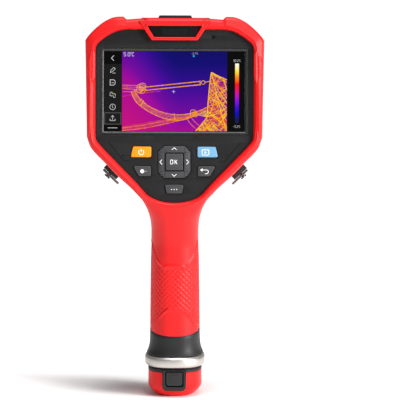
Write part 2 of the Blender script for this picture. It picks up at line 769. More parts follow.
def share_normal(share):
    """Outward direction across the grip: (x, towards the viewer)."""
    x = abs(share) ** (OVAL_POWER - 1)
    y = max(0.0, 1 - abs(share) ** OVAL_POWER) ** ((OVAL_POWER - 1) / OVAL_POWER)
    size = math.hypot(x, y) or 1.0
    return math.copysign(x / size, share), y / size


def wall_point(start, t, side):
    """A point t of the way from the silhouette to the split, on the right side if side is 1."""
    y0, z0 = to_level(start.y, start.z)
    y = mix(y0, SPLIT_Y - 0.15, t)
    on_grip = 1 - smoothstep(NECK_V - 6, NECK_V + 20, start.z)
    b = grip_size(min(max(z0, 43), 118))[1]
    pull = max(0.0, 1 - (max(y, 0) / b) ** OVAL_POWER) ** (1 / OVAL_POWER)
    rise = 0.0
    if start.z < NECK_V:
        q = side * (GRIP_STEP * GRIP_COLUMNS / 2 + y - y0)
        rise = knurl(q, start.z, start.x) * (1 - smoothstep(0.6, 1.0, t))
    x = start.x * mix(1.0, pull, on_grip) + side * rise
    w = start.y + (y - y0) / math.cos(TILT)
    return x, w, start.z


def make_rear_housing():
    shell = rear_shell()
    piece = from_pydata("rear_housing_shell", shell.vertices, shell.faces)
    clean_mesh(piece.data)
    thick = piece.modifiers.new("thickness", "SOLIDIFY")
    thick.thickness = SKIN
    thick.offset = -1
    apply_modifiers(piece)
    shade(piece, 40)
    piece = join_pieces("rear_housing", [piece, make_tongue()])
    finish_piece(piece, HEAD, "camera", RED, ["rear_housing"])


# ---------- strokes: thin raised lines for icons, figures and the screen's picture ----------
STEP_FORWARD = 0.003
STEPS_FORWARD = 4


class Strokes:
    """Collects thin closed strips and plates in the head frame into one mesh."""

    def __init__(self, name, near, far):
        self.name = name
        self.near = near
        self.far = far
        self.vertices = []
        self.faces = []
        self.parts = 0

    def next_near(self):
        """The front depth of the next part, a hair in front of the last one where parts cross."""
        self.parts += 1
        return self.near - STEP_FORWARD * (self.parts % STEPS_FORWARD)

    def prism(self, loop):
        """A flat plate from a convex or gently bent outline listed clockwise."""
        count = len(loop)
        start = len(self.vertices)
        near = self.next_near()
        self.vertices += [(x, near, v) for x, v in loop] + [(x, self.far, v) for x, v in loop]
        self.faces.append(tuple(start + i for i in range(count)))
        self.faces.append(tuple(start + count + i for i in reversed(range(count))))
        for i in range(count):
            j = (i + 1) % count
            self.faces.append((start + j, start + i, start + count + i, start + count + j))

    def line(self, points, width, closed=False):
        """A strip of constant width along a polyline."""
        pts = [Vector(p) for p in points]
        if closed:
            pts.append(pts[0])
        sides = []
        for i, here in enumerate(pts):
            before = pts[i - 1] if i else (pts[-2] if closed else None)
            after = pts[i + 1] if i < len(pts) - 1 else (pts[1] if closed else None)
            normals = []
            for a, b in ((before, here), (here, after)):
                if a is not None and b is not None:
                    d = (b - a).normalized()
                    normals.append(Vector((-d.y, d.x)))
            normal = sum(normals, Vector((0, 0)))
            normal = normal * (width / 2 / max(0.35, normal.dot(normals[0]))) if len(normals) > 1 \
                else normals[0] * (width / 2)
            sides.append((here + normal, here - normal))
        start = len(self.vertices)
        near = self.next_near()
        for a, b in sides:
            self.vertices += [(a.x, near, a.y), (b.x, near, b.y), (b.x, self.far, b.y), (a.x, self.far, a.y)]
        for i in range(len(sides) - 1):
            p, q = start + 4 * i, start + 4 * i + 4
            for k in range(4):
                self.faces.append((p + k, q + k, q + (k + 1) % 4, p + (k + 1) % 4))
        if not closed:
            end = start + 4 * (len(sides) - 1)
            self.faces.append((start + 3, start + 2, start + 1, start))
            self.faces.append((end, end + 1, end + 2, end + 3))

    def ring(self, x, v, radius, width, start=0, end=360, count=28):
        """An arc, with angles in degrees clockwise from the top."""
        angles = [math.radians(mix(start, end, k / count)) for k in range(count + 1)]
        points = [(x + radius * math.sin(a), v + radius * math.cos(a)) for a in angles]
        whole = abs(end - start) >= 360
        self.line(points[:-1] if whole else points, width, whole)

    def dot(self, x, v, radius, count=20):
        self.prism(circle(radius, x, v, count))

    def figures(self, text, x, v, height, width):
        """Digits and a few signs, standing on v with their left edge at x."""
        for sign in text:
            for stroke in FIGURES[sign]:
                self.line([(x + a * height, v + b * height) for a, b in stroke], width)
            x += (0.38 if sign in ".'" else 0.78) * height

    def make(self, body, slot_name, look):
        piece = from_pydata(self.name, self.vertices, self.faces, smooth=False)
        clean_mesh(piece.data)
        finish_piece(piece, HEAD, body, look)


# strokes of each sign in a box 0.6 wide and 1 tall
FIGURES = {
    "0": [[(0.1, 0), (0.5, 0), (0.58, 0.2), (0.58, 0.8), (0.5, 1), (0.1, 1), (0.02, 0.8), (0.02, 0.2),
           (0.1, 0)]],
    "1": [[(0.1, 0.8), (0.32, 1), (0.32, 0)]],
    "2": [[(0.03, 0.85), (0.2, 1), (0.45, 1), (0.56, 0.75), (0.03, 0), (0.58, 0)]],
    "3": [[(0.03, 1), (0.55, 1), (0.25, 0.57), (0.52, 0.45), (0.56, 0.15), (0.4, 0), (0.03, 0.05)]],
    "5": [[(0.55, 1), (0.08, 1), (0.05, 0.58), (0.45, 0.58), (0.57, 0.3), (0.45, 0), (0.03, 0.03)]],
    "8": [[(0.1, 0), (0.5, 0), (0.57, 0.25), (0.48, 0.52), (0.12, 0.52), (0.05, 0.8), (0.15, 1), (0.45, 1),
           (0.55, 0.8), (0.48, 0.52), (0.12, 0.52), (0.03, 0.25), (0.1, 0)]],
    ".": [[(0.08, 0), (0.08, 0.13)]],
    "'": [[(0.02, 0.85), (0.1, 1), (0.18, 0.85), (0.1, 0.72), (0.02, 0.85)]],
    "-": [[(0.08, 0.5), (0.5, 0.5)]],
    "C": [[(0.56, 0.85), (0.4, 1), (0.15, 1), (0.03, 0.75), (0.03, 0.25), (0.15, 0), (0.4, 0), (0.56, 0.15)]],
    "O": [[(0.15, 0), (0.5, 0), (0.63, 0.2), (0.63, 0.8), (0.5, 1), (0.15, 1), (0.02, 0.8), (0.02, 0.2),
           (0.15, 0)]],
    "K": [[(0.05, 0), (0.05, 1)], [(0.58, 1), (0.08, 0.46)], [(0.22, 0.6), (0.62, 0)]],
}


# ---------- bezel panel ----------
# the panel's right half, from the top middle to the foot
PANEL_LINE = [(0, 245.1), (32.8, 245.1), (39.7, 243.6), (46.6, 239.7), (51.7, 235.8), (53.4, 232.0),
              (53.3, 172.2), (52.2, 169.6), (44.0, 160.6), (25.9, 142.1), (19.1, 134.4), (12.2, 130.3),
              (0, PANEL_FOOT_V)]
DISPLAY_V = 203.5            # height of the display's middle
DISPLAY_HALF = (47.5, 27.0)
SURROUND = 1.7               # width of the frame round the display
KEY_V = 155.9                # height of the navigation ring's middle


def grow(outline, distance):
    return inset(outline, -distance)


def key_outline(inner, outer_top, outer_foot, top, foot, side):
    points = [(inner, top), (outer_top, top), (outer_foot, foot), (inner, foot)]
    return points if side > 0 else [(-x, v) for x, v in reversed(points)]


KEYS = {
    "power_key": (key_outline(15.6, 27.8, 29.4, 166.2, 159.1, -1), "key_orange", KEY_ORANGE),
    "gallery_key": (key_outline(15.6, 27.8, 29.4, 166.2, 159.1, 1), "key_blue", KEY_BLUE),
    "lamp_key": (key_outline(15.8, 28, 24, 153.1, 146.2, -1), "key_grey", KEY_GREY),
    "back_key": (key_outline(15.8, 28, 24, 153.1, 146.2, 1), "key_grey", KEY_GREY),
    "more_key": ([(-6.4, 140.6), (6.4, 140.6), (5.2, 134.6), (-5.2, 134.6)], "key_grey", KEY_GREY),
}
KEY_ROUND = 1.1
NAV_HALF = 10.85
NAV_CHAMFER = 4.0
NAV_FLAT = NAV_HALF - NAV_CHAMFER
NAV_LINE = [(-NAV_FLAT, KEY_V + NAV_HALF), (NAV_FLAT, KEY_V + NAV_HALF),
            (NAV_HALF, KEY_V + NAV_FLAT), (NAV_HALF, KEY_V - NAV_FLAT),
            (NAV_FLAT, KEY_V - NAV_HALF), (-NAV_FLAT, KEY_V - NAV_HALF),
            (-NAV_HALF, KEY_V - NAV_FLAT), (-NAV_HALF, KEY_V + NAV_FLAT)]
OK_HALF = (5.8, 5.6)
PANEL_SKIN = 0.45             # the raised outer skin of the bezel
DISPLAY_FIELD = [(-51.1, 232.7), (51.1, 232.7), (51.1, 173.8), (15.4, 173.8), (12.2, 170.6), (-12.2, 170.6),
                 (-15.4, 173.8), (-51.1, 173.8)]


def stroke_outline(points, width):
    """The closed outline of a thin open line, for a groove."""
    pts = [Vector(p) for p in points]
    left, right = [], []
    for i, here in enumerate(pts):
        a = pts[max(i - 1, 0)]
        b = pts[min(i + 1, len(pts) - 1)]
        d = (b - a).normalized()
        n = Vector((-d.y, d.x)) * width / 2
        left.append(here + n)
        right.append(here - n)
    return left + right[::-1]


def display_line(margin):
    """The display area's outline, grown by a margin."""
    return rectangle(DISPLAY_HALF[0] + margin, DISPLAY_HALF[1] + margin, 0, DISPLAY_V)


MICROPHONE_HOLE = circle(1.35, 26.0, 240.2, 24)
SENSOR_X, SENSOR_V = 34.9, 160.3  # pinholes beside the keys
GROOVE = [(44.3, 168.8), (33.9, 156.5), (30.2, 156.5)]
GROOVE_WIDTH = 0.45
SURROUND_GAP = 0.25
NAV_GAP = 0.5
KEY_GAP = 0.35
PANEL_TUCK = 0.9             # how far the panel runs under the rim


def make_bezel():
    outline = grow(mirrored(PANEL_LINE), PANEL_TUCK)
    surround = rounded(display_line(SURROUND + SURROUND_GAP), 1.2)
    shared = [rounded(grow(NAV_LINE, NAV_GAP), 1.0), MICROPHONE_HOLE,
              circle(0.42, SENSOR_X, SENSOR_V, 12), circle(0.42, -SENSOR_X, SENSOR_V, 12)]
    shared += [rounded(grow(line, KEY_GAP), KEY_ROUND + 0.3) for line, _, _ in KEYS.values()]
    base = plate("rear_bezel", [outline, surround] + shared, PANEL_FACE + PANEL_SKIN, PANEL_BACK, 0.15, 2)
    grooves = [stroke_outline([(side * x, v) for x, v in GROOVE], GROOVE_WIDTH) for side in (-1, 1)]
    field = rounded(DISPLAY_FIELD, [1.6, 1.6, 1.6, 0.6, 0.6, 0.6, 0.6, 1.6])
    skin_back = PANEL_FACE + PANEL_SKIN + 0.2
    skin = plate("bezel_skin", [outline, field] + shared + grooves, PANEL_FACE, skin_back, 0.14, 2)
    piece = join_pieces("rear_bezel", [base, skin])
    finish_piece(piece, HEAD, "camera", PANEL, ["rear_bezel"])


# section of the frame round the display: (distance in from its outer edge, depth past the panel's face)
SURROUND_SECTION = [(0, 0.22), (0.1, 0.12), (0.75, 0.12), (0.95, 0.2), (1.55, 0.85), (1.7, 0.95)]


def make_surround():
    """The frame round the display, a section swept round a rectangle and closed on itself."""
    back = PANEL_BACK - 0.2
    front = [(reach, PANEL_FACE + depth) for reach, depth in SURROUND_SECTION]
    profile = [(0, back)] + front + [(SURROUND, back)]
    loops = []
    for reach, depth in profile:
        outline = rounded(display_line(SURROUND - reach), max(0.15, 1.6 - reach), 5)
        loops.append([(x, depth, v) for x, v in outline])
    piece = loft_loops("display_surround", loops, closed=True, sharp=30)
    finish_piece(piece, HEAD, "camera", SURROUND_LOOK, ["display_surround"])


def make_glass():
    low, high = head_box("display_glass")
    piece = plate("display_glass", [rounded(display_line(-0.05), 0.8)], low.y, high.y, 0.15, 2)
    finish_piece(piece, HEAD, "camera", GLASS, ["display_glass"])
    return low.y


# ---------- keys ----------
KEY_FACE, KEY_FLANGE = (corner.y for corner in head_box("power_key"))


def make_key(name, outline, look):
    cap = plate(name, [rounded(outline, KEY_ROUND)], KEY_FACE, KEY_FLANGE - 0.5, 0.42, 4)
    flange = plate("flange", [rounded(grow(outline, 0.8), KEY_ROUND)], KEY_FLANGE - 0.6, KEY_FLANGE, 0.1, 1)
    piece = join_pieces(name, [cap, flange])
    finish_piece(piece, HEAD, name, look, [name])


def icon_strokes(name, face=KEY_FACE):
    return Strokes(name, face - 0.04, face + 0.05)


def make_key_icons():
    x, v = -22.3, 162.4
    power = icon_strokes("power_icon")
    power.ring(x, v, 1.75, 0.42, 38, 322, 24)
    power.line([(x, v + 2.2), (x, v + 0.3)], 0.45)
    power.make("power_key", "key_orange", PRINT)

    x = 21.0
    gallery = icon_strokes("gallery_icon")
    gallery.line(rounded(rectangle(2.3, 1.75, x, v), 0.8, 4), 0.45, True)
    gallery.prism([(x - 0.6, v + 0.85), (x + 0.95, v), (x - 0.6, v - 0.85)])
    gallery.make("gallery_key", "key_blue", PRINT)

    lamp = icon_strokes("lamp_icon")
    lamp.dot(-21.6, 149.6, 1.35)
    lamp.make("lamp_key", "key_grey", PRINT)
    handle = icon_strokes("lamp_icon_handle")
    handle.prism(rectangle(0.75, 0.32, -19.1, 149.6))
    handle.make("lamp_key", "key_grey", PRINT_DIM)

    back = icon_strokes("back_icon")
    back.line([(18.6, 150.6), (21.8, 150.6)] + [(21.8 + 1.25 * math.sin(a), 149.35 + 1.25 * math.cos(a))
                                               for a in [math.pi * k / 10 for k in range(1, 11)]]
              + [(20.6, 148.1)], 0.42)
    back.prism([(17.4, 150.6), (19.1, 151.7), (19.1, 149.5)])
    back.make("back_key", "key_grey", PRINT)

    more = icon_strokes("more_icon")
    for k in (-1, 0, 1):
        more.dot(1.7 * k, 137.4, 0.36, 12)
    more.make("more_key", "key_grey", PRINT)


NAV_FACE, NAV_BACK = (corner.y for corner in head_box("nav_ring"))
OK_FACE, OK_BACK = (corner.y for corner in head_box("ok_key"))


def sloped_facet(name, loop, depths, back):
    """A closed prism whose front corners lie at their own depths."""
    count = len(loop)
    vertices = [(p[0], depth, p[1]) for p, depth in zip(loop, depths)] + [(p[0], back, p[1]) for p in loop]
    faces = [tuple(range(count)), tuple(reversed(range(count, 2 * count)))]
    faces += [((i + 1) % count, i, count + i, count + (i + 1) % count) for i in range(count)]
    piece = from_pydata(name, vertices, faces)
    clean_mesh(piece.data)
    soften = piece.modifiers.new("edges", "BEVEL")
    soften.width = 0.16
    soften.segments = 3
    apply_modifiers(piece)
    shade(piece, 40)
    return piece


def make_nav_ring():
    bore = rounded(grow(rectangle(*OK_HALF, 0, KEY_V), 0.45), 0.9)
    base = plate("nav_ring", [rounded(NAV_LINE, 0.9), bore], NAV_FACE + 0.75, NAV_BACK, 0.35, 3)
    pieces = [base]
    edge = inset(NAV_LINE, 0.55)
    inner = rectangle(OK_HALF[0] + 0.85, OK_HALF[1] + 0.85, 0, KEY_V)
    crest, brow, back = NAV_FACE, NAV_FACE + 0.5, NAV_FACE + 1.2
    for k in range(4):
        after = (k + 1) % 4
        sector = inset([edge[2 * k], edge[2 * k + 1], inner[after], inner[k]], 0.14)
        pieces.append(sloped_facet("nav_sector", sector, [brow, brow, crest, crest], back))
        corner = inset([edge[2 * k + 1], edge[(2 * k + 2) % 8], inner[after]], 0.14)
        pieces.append(sloped_facet("nav_corner", corner, [brow, brow, crest], back))
    piece = join_pieces("nav_ring", pieces)
    finish_piece(piece, HEAD, "nav_ring", KEY_GREY, ["nav_ring"])
    marks = icon_strokes("nav_icons", NAV_FACE)
    reach = 8.95
    for angle in (0, 90, 180, 270):
        turn = Matrix.Rotation(math.radians(angle), 2)
        points = [turn @ Vector(p) for p in ((-1.6, reach - 0.75), (0, reach + 0.75), (1.6, reach - 0.75))]
        marks.line([(p.x, KEY_V + p.y) for p in points], 0.42)
    marks.make("nav_ring", "key_grey", PRINT)


def make_ok_key():
    outline = rectangle(*OK_HALF, 0, KEY_V)
    piece = plate("ok_key", [rounded(outline, 0.9)], OK_FACE, OK_BACK, 0.5, 4)
    finish_piece(piece, HEAD, "ok_key", KEY_GREY, ["ok_key"])
    text = icon_strokes("ok_text", OK_FACE)
    for letter, left in (("O", -2.65), ("K", 0.3)):
        text.figures(letter, left, KEY_V - 1.4, 2.8, 0.42)
    text.make("ok_key", "key_grey", PRINT)


# ---------- grille and its red tongue ----------
GRILLE_LINE = [(-18.5, 247.5), (18.5, 247.5), (13.75, 240.1), (-13.75, 240.1)]


def make_grille():
    low, high = head_box("speaker_grille")
    face = low.y + 0.35
    piece = plate("speaker_grille", [rounded(GRILLE_LINE, 0.5)], face, high.y, 0.2, 2)
    finish_piece(piece, HEAD, "camera", GRILLE, ["speaker_grille"])
    holes = Strokes("grille_mesh", face - 0.03, face + 0.05)
    pitch = 0.95
    for row in range(5):
        v = 241.6 + row * pitch * 0.95
        for column in range(-9, 10):
            x = (column + 0.5 * (row % 2)) * pitch
            if abs(x) < 8.4:
                holes.dot(x, v, 0.26, 8)
    holes.make("camera", "black_plastic", GRILLE_DOTS)


def make_tongue():
    """The red frame that carries the grille, and runs up over the rim's top."""
    outer = [(-24.4, 251.2), (24.4, 251.2), (20.3, 245.0), (15.4, 237.9), (-15.4, 237.9), (-20.3, 245.0)]
    hole = grow(GRILLE_LINE, 0.1)
    return plate("tongue", [rounded(outer, [0.4, 0.4, 0.5, 1.2, 1.2, 0.5]), rounded(hole, 0.5)],
                 RIM_FACE - 0.12, PANEL_FACE + 0.6, 0.55, 4)


make_bezel()
make_surround()
SCREEN_FACE = make_glass()
for key_name, (key_line, key_slot, key_look) in KEYS.items():
    make_key(key_name, key_line, key_look)
make_key_icons()
make_nav_ring()
make_ok_key()
make_grille()


# ---------- what the screen shows ----------
PICTURE = (-35.4, 35.4, DISPLAY_V - DISPLAY_HALF[1] + 0.1, DISPLAY_V + DISPLAY_HALF[1] - 0.1)
PICTURE_EDGE = 0.2           # how far inside the picture its lines end
COLUMN = (35.5, 47.2)        # the plain columns at either side of the picture, from the middle
COLUMN_FOOT = 176.7
COLUMN_TOP = 230.3
INK = 0.02                   # thickness of one layer on the screen


def layer(name, number):
    """A set of strokes on the screen; higher numbers lie over lower ones."""
    near = SCREEN_FACE - INK * (number + 1)
    return Strokes(name, near, SCREEN_FACE + 0.01)


def box_line(left, right, foot, top):
    return [(left, top), (right, top), (right, foot), (left, foot)]


def object_place(tree):
    """A point's place on the object, split into X, Y and Z."""
    parts = tree.nodes.new("ShaderNodeSeparateXYZ")
    tree.links.new(tree.nodes.new("ShaderNodeTexCoord").outputs["Object"], parts.inputs["Vector"])
    return parts.outputs


def map_range(tree, source, start, end, whole=1.0, kind="LINEAR"):
    """0 up to the start, in metres, and rising to whole at the end."""
    node = tree.nodes.new("ShaderNodeMapRange")
    node.interpolation_type = kind
    node.inputs["From Min"].default_value = start
    node.inputs["From Max"].default_value = end
    node.inputs["To Max"].default_value = whole
    tree.links.new(source, node.inputs["Value"])
    return node.outputs["Result"]


def screen_height(v):
    """Height in the row frame, in metres, of a height on the screen."""
    return (HEAD @ Vector((0, SCREEN_FACE, v))).z * MM


def colour_stops(stops):
    return [(position, rgb(code)) for position, code in stops]


SKY_COLOURS = [(0.0, "C90E7C"), (0.26, "B4058A"), (0.42, "A0029B"), (0.52, "74029D"), (0.60, "60029C"),
               (0.68, "48029A"), (0.78, "2B0489"), (0.90, "0E0672"), (1.0, "0A0666")]
SCALE_COLOURS = [(0.0, "141938"), (0.07, "0A0D61"), (0.17, "0000C0"), (0.27, "3E00D4"), (0.37, "8400E2"),
                 (0.47, "C800BC"), (0.57, "F20055"), (0.66, "FF0A00"), (0.77, "FF8800"), (0.87, "FFE03C"),
                 (1.0, "FFFFF0")]


def sky_material():
    """Cold sky: navy at the upper right, through purple, to magenta at the lower left."""
    look, tree, shader = new_material("picture_sky")
    place = object_place(tree)
    total = tree.nodes.new("ShaderNodeMath")
    total.operation = "ADD"
    across = map_range(tree, place["X"], -38 * MM, 6 * MM, 0.4, "SMOOTHSTEP")
    up = map_range(tree, place["Z"], screen_height(PICTURE[2]), screen_height(PICTURE[3]), 0.6)
    tree.links.new(across, total.inputs[0])
    tree.links.new(up, total.inputs[1])
    glow(tree, shader, ramp_node(tree, total.outputs["Value"], colour_stops(SKY_COLOURS)))
    return look


def scale_material(foot, top):
    """The colour scale from hot at the top to cold at the foot."""
    look, tree, shader = new_material("colour_scale")
    up = map_range(tree, object_place(tree)["Z"], screen_height(foot), screen_height(top))
    glow(tree, shader, ramp_node(tree, up, colour_stops(SCALE_COLOURS)), 0.5)
    return look


def show(strokes, name, first, second, scale=900, detail=2):
    """Puts a layer of strokes on the screen, lit in a colour that drifts between two."""
    strokes.make("camera", "display_glass", lit(name, first, second, scale, detail))


def between(first, second, t):
    """A polyline part of the way from one to another with the same number of points."""
    return [(mix(a[0], b[0], t), mix(a[1], b[1], t)) for a, b in zip(first, second)]


def smooth_line(points, steps=28):
    return [(p[0], p[1]) for p in curve_through(points, [(1, steps)])]


def clip_to_picture(points):
    left, right, foot, top = PICTURE
    return [(min(max(x, left + PICTURE_EDGE), right - PICTURE_EDGE),
             min(max(v, foot + PICTURE_EDGE), top - PICTURE_EDGE)) for x, v in points]


UPPER_SAG = [(-29.2, 203.1), (-27.6, 199.2), (-24.0, 194.6), (-16.5, 189.4), (-6.5, 185.2), (3.5, 184.0),
             (12.0, 186.4), (19.6, 189.3), (21.8, 190.6)]
LOWER_SAG = [(-26.9, 204.6), (-24.6, 199.9), (-18.4, 194.2), (-10.8, 190.3), (-2.3, 188.0), (5.2, 187.8),
             (11.4, 188.8), (18.0, 191.0), (21.8, 192.9)]


# strands at the left edge: (height at the edge, height at the clamp, width)
EDGE_STRANDS = [(207.6, 207.3, 0.45), (206.4, 206.1, 0.3), (205.3, 204.6, 0.45), (203.2, 203.3, 0.4)]
LOW_START = [(-36, 179.4), (-23, 181.4), (-11, 183.6), (3.4, 185.5), (12, 187.6)]
LOW_END = [(-36, 176.9), (-21, 178.6), (-5, 181.9), (6.4, 184.8), (13, 187.0)]
# clamps: (x, height, half size)
CLAMPS = [(-22.6, 205.0, 3.4), (-21.4, 206.6, 2.6), (-23.7, 204.4, 2.1), (12.8, 188.9, 2.4),
          (14.0, 188.0, 1.9)]
BEADS = 46                   # along each insulator string


def draw_cables():
    faint = layer("cables_faint", 1)
    warm = layer("cables_warm", 2)
    hot = layer("cables_hot", 3)
    for k in range(5):
        strand = smooth_line(between(UPPER_SAG, LOWER_SAG, k / 4), 40)
        (hot if k in (0, 4) else warm).line(strand, 0.5 if k in (0, 4) else 0.36)
    for v_start, v_end, width in EDGE_STRANDS:
        warm.line(clip_to_picture([(-36, v_start), (-30, mix(v_start, v_end, 0.4)), (-24, v_end)]), width)
    faint.line(clip_to_picture(smooth_line([(-36, 199.9), (-26, 201.5), (-17, 202.9), (-9.5, 203.6)])), 0.4)
    for k in range(4):
        strand = clip_to_picture(smooth_line(between(LOW_START, LOW_END, k / 3)))
        (warm if k % 2 else faint).line(strand, 0.55)
    for path in ([(8.1, 185.9), (10.4, 182.2), (14.6, 178.2)], [(10.6, 186.6), (14.2, 182.6), (18.4, 179.2)]):
        warm.line(smooth_line(path, 14), 0.4)
    # spacers on the hanging bundle
    hot.line([(-23.0, 193.4), (-20.7, 197.3)], 0.5)
    hot.line([(-0.2, 188.6), (0.4, 184.1)], 0.5)
    hot.line([(-24.2, 196.1), (-21.8, 198.4)], 0.35)
    # insulator strings, drawn as beads on two rods
    for start, end in (((-19.8, 206.3), (17.4, 210.3)), ((-19.8, 204.1), (17.4, 208.1))):
        hot.line([start, end], 0.42)
        for k in range(BEADS):
            t = (k + 0.5) / BEADS
            x, v = mix(start[0], end[0], t), mix(start[1], end[1], t)
            hot.line([(x, v - 0.36), (x + 0.05, v + 0.36)], 0.42)
    hot.line([(17.2, 210.8), (17.4, 207.6)], 0.6)
    hot.ring(19.3, 209.5, 1.25, 0.4, count=16)
    hot.line([(20.5, 209.7), (24.0, 210.4)], 0.5)
    # clamps where the cables meet
    for x, v, size in CLAMPS:
        corners = [(-0.75, 1), (0.7, 0.8), (0.85, -0.9), (-0.9, -0.7)]
        hot.line(rounded([(x + size * a, v + size * b) for a, b in corners], size * 0.6, 4), 0.36, True)
    for k in range(9):
        angle = 2.4 * k
        hot.line([(-22.3 + 1.9 * math.cos(angle), 205.2 + 2.1 * math.sin(angle)),
                  (-22.3 + 2.1 * math.cos(angle + 2.2), 205.2 + 2.0 * math.sin(angle + 2.2))], 0.34)
        hot.line([(13.2 + 1.2 * math.cos(angle), 188.6 + 1.4 * math.sin(angle)),
                  (13.2 + 1.3 * math.cos(angle + 2.1), 188.6 + 1.3 * math.sin(angle + 2.1))], 0.32)
    show(faint, "cable_faint", "C92B5E", "DE4A3C", 500)
    show(warm, "cable_warm", "E0552E", "F2881A", 450)
    show(hot, "cable_hot", "F07F16", "FFB90E", 700)


TOWER = [(24.7, 216.4), (30.0, 213.9), (35.3, 211.6), (35.3, 176.7), (13.8, 176.7), (17.0, 180.6),
         (21.6, 185.8), (22.6, 199.0), (23.4, 208.0)]


def inside_outline(x, v, outline):
    hit = False
    for (x0, v0), (x1, v1) in zip(outline, outline[1:] + outline[:1]):
        if (v0 > v) != (v1 > v) and x < (x1 - x0) * (v - v0) / (v1 - v0) + x0:
            hit = not hit
    return hit


BAR_STEP = 0.3
SHORTEST_BAR = 0.8


def lattice_bar(sheet, x, v, angle, length, width):
    """A straight bar that stops at the tower's outline."""
    def along(distance):
        return x + distance * math.cos(angle), v + distance * math.sin(angle)
    ends = []
    for sign in (-1, 1):
        reach = 0.0
        while reach < length / 2 and inside_outline(*along(sign * (reach + BAR_STEP)), TOWER):
            reach += BAR_STEP
        ends.append(along(sign * reach))
    if (Vector(ends[0]) - Vector(ends[1])).length > SHORTEST_BAR:
        sheet.line(ends, width)


def draw_tower():
    backing = layer("tower_back", 1)
    backing.prism(TOWER)
    shade_bars = layer("tower_shade", 2)
    bars = layer("tower_bars", 4)
    bright = layer("tower_bright", 5)
    draw = np.random.default_rng(11)
    sheets = [(bars, 74, (0.28, 0.5)), (bright, 40, (0.25, 0.42)), (shade_bars, 60, (0.4, 0.8))]
    for sheet, count, widths in sheets:
        made = 0
        while made < count:
            x = draw.uniform(14, 35.3)
            v = 176.7 + 39.5 * draw.uniform(0, 1) ** 1.35  # denser towards the foot
            if not inside_outline(x, v, TOWER):
                continue
            steep = draw.choice([-1, 1]) * draw.uniform(0.45, 1.3)
            lattice_bar(sheet, x, v, steep, draw.uniform(3, 13), draw.uniform(*widths))
            made += 1
    leg = [(24.7, 216.2), (23.6, 207.5), (22.9, 199.0), (21.9, 186.0), (17.6, 180.4), (14.4, 176.9)]
    bright.line(leg, 0.55)
    bright.line([(24.7, 216.4), (30.0, 213.7), (35.2, 211.4)], 0.55)
    bright.line([(24.9, 215.8), (27.6, 205.0), (30.0, 195.0), (33.8, 181.0), (35.1, 177.0)], 0.45)
    bright.line([(25.4, 213.5), (29.5, 204.0), (35.1, 196.2)], 0.4)
    bright.line([(23.4, 206.0), (29.0, 200.0), (35.1, 188.4)], 0.4)
    for k in range(7):
        v = 178.5 + k * 5.0
        left = float(np.interp(v, [176.7, 185.8, 199, 216], [15.0, 21.8, 22.8, 24.6]))
        bars.line([(left, v), (35.2, v + 3.2)], 0.42)
    knot_x, knot_v = 21.6, 186.4
    for k in range(12):
        angle = math.radians(18 + 13 * k)
        reach = (5.5 + 3 * (k % 3)) * (0.6 if angle > 1.6 else 1)
        end = (knot_x + reach * math.cos(angle), knot_v + (3.4 + k % 2) * math.sin(angle))
        bright.line([(knot_x, knot_v), end], 0.3)
    show(backing, "tower_gaps", "4E089A", "C42F6A", 330, 3)
    show(shade_bars, "tower_red", "C63A4A", "E8601C", 380)
    show(bars, "tower_orange", "EE7F14", "FBA80E", 600)
    show(bright, "tower_yellow", "FBB30C", "FFD21E", 600)


MENU_X = -41.7               # middle of the menu's icons
# the icons' lines from the top down: (points from the menu's middle, width, whether closed)
MENU_ICONS = [
    ([(0.8, 227.5), (-0.9, 225.8), (0.8, 224.1)], 0.36, False),
    # pencil
    ([(-1.6, 216.0), (-1.2, 217.7), (0.7, 219.6), (1.7, 218.6), (-0.2, 216.7), (-1.6, 216.0)], 0.28, False),
    ([(-0.2, 215.7), (1.8, 215.7)], 0.28, False),
    # note
    ([(-1.7, 207.6), (-1.7, 211.2), (0.7, 211.2), (1.7, 210.2), (1.7, 208.6), (0.6, 207.5)], 0.36, True),
    ([(-0.8, 209.2), (0.8, 209.2)], 0.32, False),
    # two arrows round
    ([(-1.7, 202.0), (-1.9, 201.0), (-1.2, 200.3), (0, 200.4)], 0.3, False),
    ([(-1.9, 202.6), (-0.4, 202.8), (-0.2, 201.6)], 0.28, False),
    ([(1.7, 200.2), (1.9, 201.2), (1.2, 201.9), (0.2, 201.6)], 0.3, False),
    ([(2.0, 199.5), (0.5, 199.3), (0.4, 200.5)], 0.28, False),
    # circle with a hand
    (circle(1.9, 0, 192.9, 28), 0.28, True),
    ([(-0.15, 194.0), (-0.15, 192.8), (0.45, 192.3)], 0.28, False),
    # tray with an arrow up
    ([(-1.7, 184.9), (-1.7, 183.7), (1.7, 183.7), (1.7, 184.9)], 0.3, False),
    ([(0, 184.4), (0, 187.0)], 0.3, False),
    ([(-0.95, 186.1), (0, 187.1), (0.95, 186.1)], 0.28, False),
    # a plain bar stands for the label
    ([(-3.2, 178.8), (3.2, 178.8)], 0.34, False),
]


def draw_menu():
    inner, outer = COLUMN
    column = layer("menu_column", 0)
    column.prism(box_line(-outer, -inner, COLUMN_FOOT, COLUMN_TOP))
    show(column, "menu_dark", "181818", "1B1B1B")
    dark = layer("menu_black", 1)
    dark.prism(box_line(-outer, -inner, 221.9, COLUMN_TOP))
    dark.prism(box_line(-outer, -inner, COLUMN_FOOT, 181.0))
    show(dark, "menu_black", "020202", "040404")
    chosen = layer("menu_chosen", 1)
    chosen.line(box_line(-47.0, -36.1, 181.3, 188.9), 0.35, True)
    show(chosen, "menu_frame", "5A5A5A", "666666")
    icons = layer("menu_icons", 2)
    for points, width, closed in MENU_ICONS:
        icons.line([(MENU_X + x, v) for x, v in points], width, closed)
    show(icons, "menu_white", "CFCFCF", "E4E4E4")


SCALE = (40.8, 43.4, 182.1, 222.4)
CROSS = (-0.6, 203.3)        # where the middle of the picture is marked


